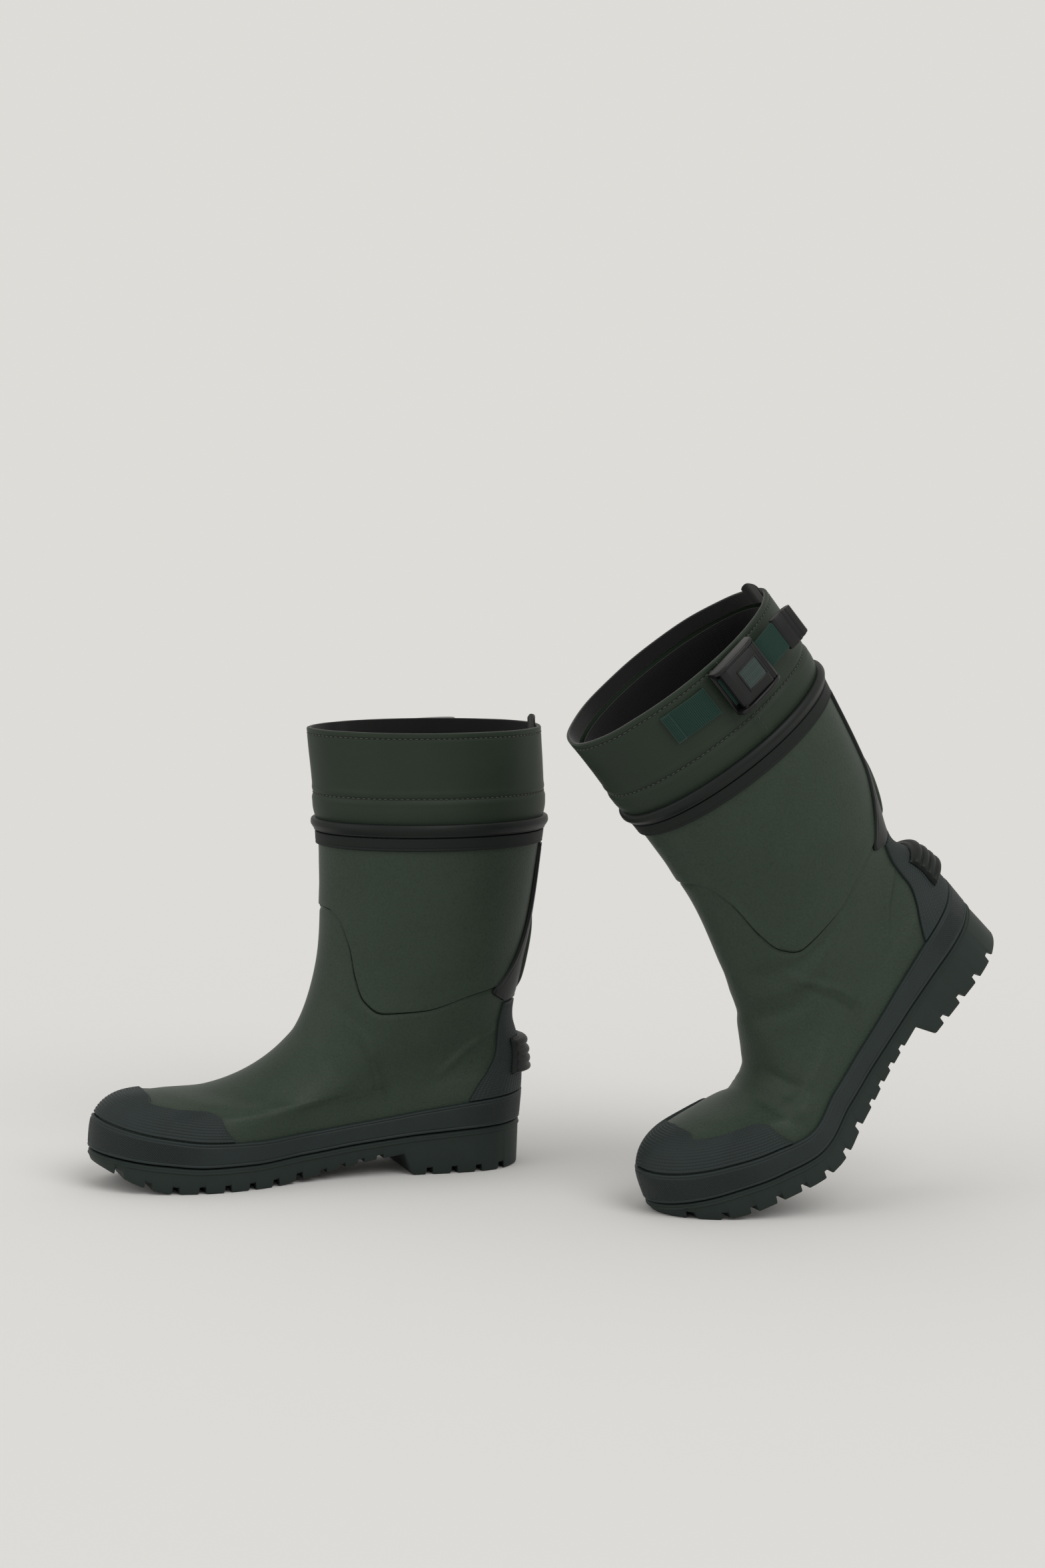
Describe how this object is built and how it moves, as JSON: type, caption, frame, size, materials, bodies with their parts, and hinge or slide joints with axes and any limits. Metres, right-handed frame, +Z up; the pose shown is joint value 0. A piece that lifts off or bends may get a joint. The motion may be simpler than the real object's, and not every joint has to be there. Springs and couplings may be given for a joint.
{
  "type": "pair of insulated rubber hunting boots",
  "caption": "Pair of insulated rubber field boots with crosshatched toe cap, lugged outsole, rolled bead, cloth collar and side cinch buckle; one flat, one rolling off its toe.",
  "frame": {"origin": "on the floor, below the middle of the pair's bounding box", "axes": "+Z up; -Y the way the toes point; +X the wearer's left"},
  "size_m": [0.3187, 0.5621, 0.3986],
  "materials": {
    "black_cloth": "woven, matt",
    "black_plastic": "moulded, satin",
    "black_rubber": "moulded, satin",
    "blue_black_rubber": "crosshatched, matt",
    "board": "fibre board",
    "collar_cloth": "rubber-coated cloth, satin",
    "foam": "closed-cell foam",
    "green_rubber": "fine leather-like grain, matt to satin",
    "lining_cloth": "knit-faced insulating foam, matt",
    "patch_rubber": "smooth, satin",
    "sole_rubber": "moulded, matt",
    "steel": "plain",
    "webbing": "ribbed webbing",
    "window_plastic": "smooth inlay"
  },
  "bodies": {
    "right_hindfoot": {"right_back_stay": "black_rubber", "right_buckle_anchor": "webbing", "right_buckle_frame": "black_plastic", "right_buckle_pin": "steel", "right_cinch_strap": "webbing", "right_collar": "collar_cloth", "right_footbed": "lining_cloth", "right_foxing_strip": "blue_black_rubber", "right_heel_counter": "blue_black_rubber", "right_heel_stiffener": "board", "right_insole_board": "board", "right_kick_spur": "black_rubber", "right_label_tab": "black_cloth", "right_leg_panel": "green_rubber", "right_lining": "lining_cloth", "right_midsole": "foam", "right_outsole": "sole_rubber", "right_rear_patch": "patch_rubber", "right_rim_hem": "black_cloth", "right_shank": "steel", "right_top_bead": "black_rubber", "right_under_band": "black_rubber", "right_vamp": "green_rubber"},
    "right_forefoot": {"right_toe_cap": "blue_black_rubber", "right_toe_puff": "board"},
    "right_lever": {"right_buckle_lever": "black_plastic", "right_lever_window": "window_plastic"},
    "right_strap_tail": {"right_strap_tail": "webbing", "right_strap_tip": "black_plastic"},
    "left_hindfoot": {"left_back_stay": "black_rubber", "left_buckle_anchor": "webbing", "left_buckle_frame": "black_plastic", "left_buckle_pin": "steel", "left_cinch_strap": "webbing", "left_collar": "collar_cloth", "left_footbed": "lining_cloth", "left_foxing_strip": "blue_black_rubber", "left_heel_counter": "blue_black_rubber", "left_heel_stiffener": "board", "left_insole_board": "board", "left_kick_spur": "black_rubber", "left_label_tab": "black_cloth", "left_leg_panel": "green_rubber", "left_lining": "lining_cloth", "left_midsole": "foam", "left_rear_patch": "patch_rubber", "left_rim_hem": "black_cloth", "left_shank": "steel", "left_top_bead": "black_rubber", "left_under_band": "black_rubber", "left_vamp": "green_rubber"},
    "left_forefoot": {"left_toe_cap": "blue_black_rubber", "left_toe_puff": "board", "left_outsole": "sole_rubber"},
    "left_lever": {"left_buckle_lever": "black_plastic", "left_lever_window": "window_plastic"},
    "left_strap_tail": {"left_strap_tail": "webbing", "left_strap_tip": "black_plastic"}
  },
  "joints": [
    {"name": "right_ball_flex", "type": "hinge", "parent": "right_hindfoot", "child": "right_forefoot", "pos_m": [-0.0899, -0.1834, 0.01], "axis": [-1, 0, 0], "range_deg": [0, 40], "stiffness_Nm_per_rad": 1.2, "deforming": ["right_outsole", "right_midsole", "right_insole_board", "right_footbed", "right_foxing_strip", "right_vamp", "right_lining"]},
    {"name": "left_toe_roll", "type": "hinge", "parent": "right_hindfoot", "child": "left_forefoot", "pos_m": [0.0881, 0.0906, 0], "axis": [0.9976, 0.0698, 0], "range_deg": [-25, 10]},
    {"name": "left_ball_flex", "type": "hinge", "parent": "left_forefoot", "child": "left_hindfoot", "pos_m": [0.08463, 0.1402, 0.03422], "axis": [0.9976, 0.0698, 0], "range_deg": [-22, 18], "deforming": ["left_outsole", "left_midsole", "left_insole_board", "left_footbed", "left_foxing_strip", "left_vamp", "left_lining"]},
    {"name": "right_buckle_lever", "type": "hinge", "parent": "right_hindfoot", "child": "right_lever", "pos_m": [-0.1536, -0.04401, 0.27668], "axis": [0.0208, -0.0533, 0.9984], "range_deg": [0, 80]},
    {"name": "right_strap_pull", "type": "slide", "parent": "right_hindfoot", "child": "right_strap_tail", "axis": [0.154, 0.9868, 0.0495], "range_m": [0, 0.02]},
    {"name": "left_buckle_lever", "type": "hinge", "parent": "left_hindfoot", "child": "left_lever", "pos_m": [0.15341, 0.06987, 0.33837], "axis": [-0.0241, 0.6433, -0.7652], "range_deg": [0, 80]},
    {"name": "left_strap_pull", "type": "slide", "parent": "left_hindfoot", "child": "left_strap_tail", "axis": [-0.2065, 0.7457, 0.6334], "range_m": [0, 0.02]}
  ]
}
